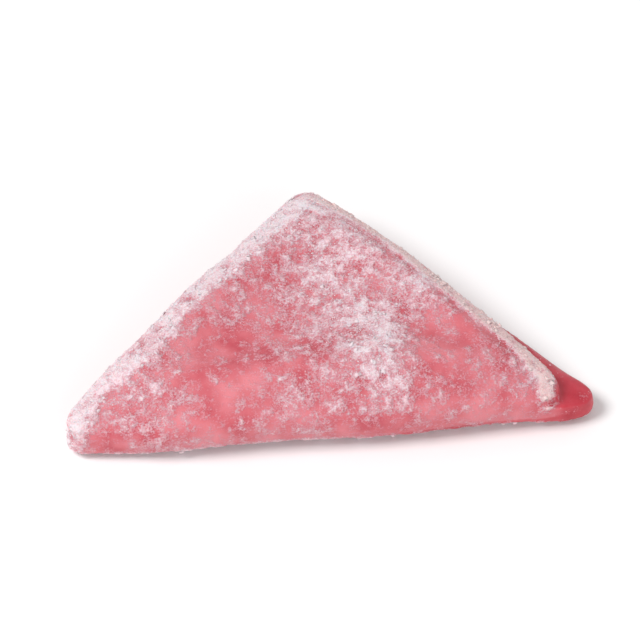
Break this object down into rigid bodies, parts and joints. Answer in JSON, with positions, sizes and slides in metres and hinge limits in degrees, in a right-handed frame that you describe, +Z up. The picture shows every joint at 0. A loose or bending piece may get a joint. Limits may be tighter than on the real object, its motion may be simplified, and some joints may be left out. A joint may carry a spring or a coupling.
{
  "type": "turkish delight, folded triangle",
  "caption": "Rose Turkish delight, a sweet to eat: starch jelly sheet folded corner to corner into a thick triangle, round at the fold, seamed at its cut edges, dusted with starch and sugar.",
  "frame": {"origin": "middle of the bounding box at its bottom, on the face the piece rests on", "axes": "+X along the folded edge, +Y from the fold towards the right-angled corner, +Z up through the two leaves"},
  "size_m": [0.0544, 0.031, 0.009],
  "materials": {
    "rose_jelly": "rose-pink starch jelly, soft and slightly see-through, patchily dusted with white starch and icing sugar",
    "starch_dust": "loose white starch and icing sugar, tinted by the jelly under it"
  },
  "bodies": {
    "root": {"turkish_delight": "rose_jelly"}
  },
  "joints": []
}
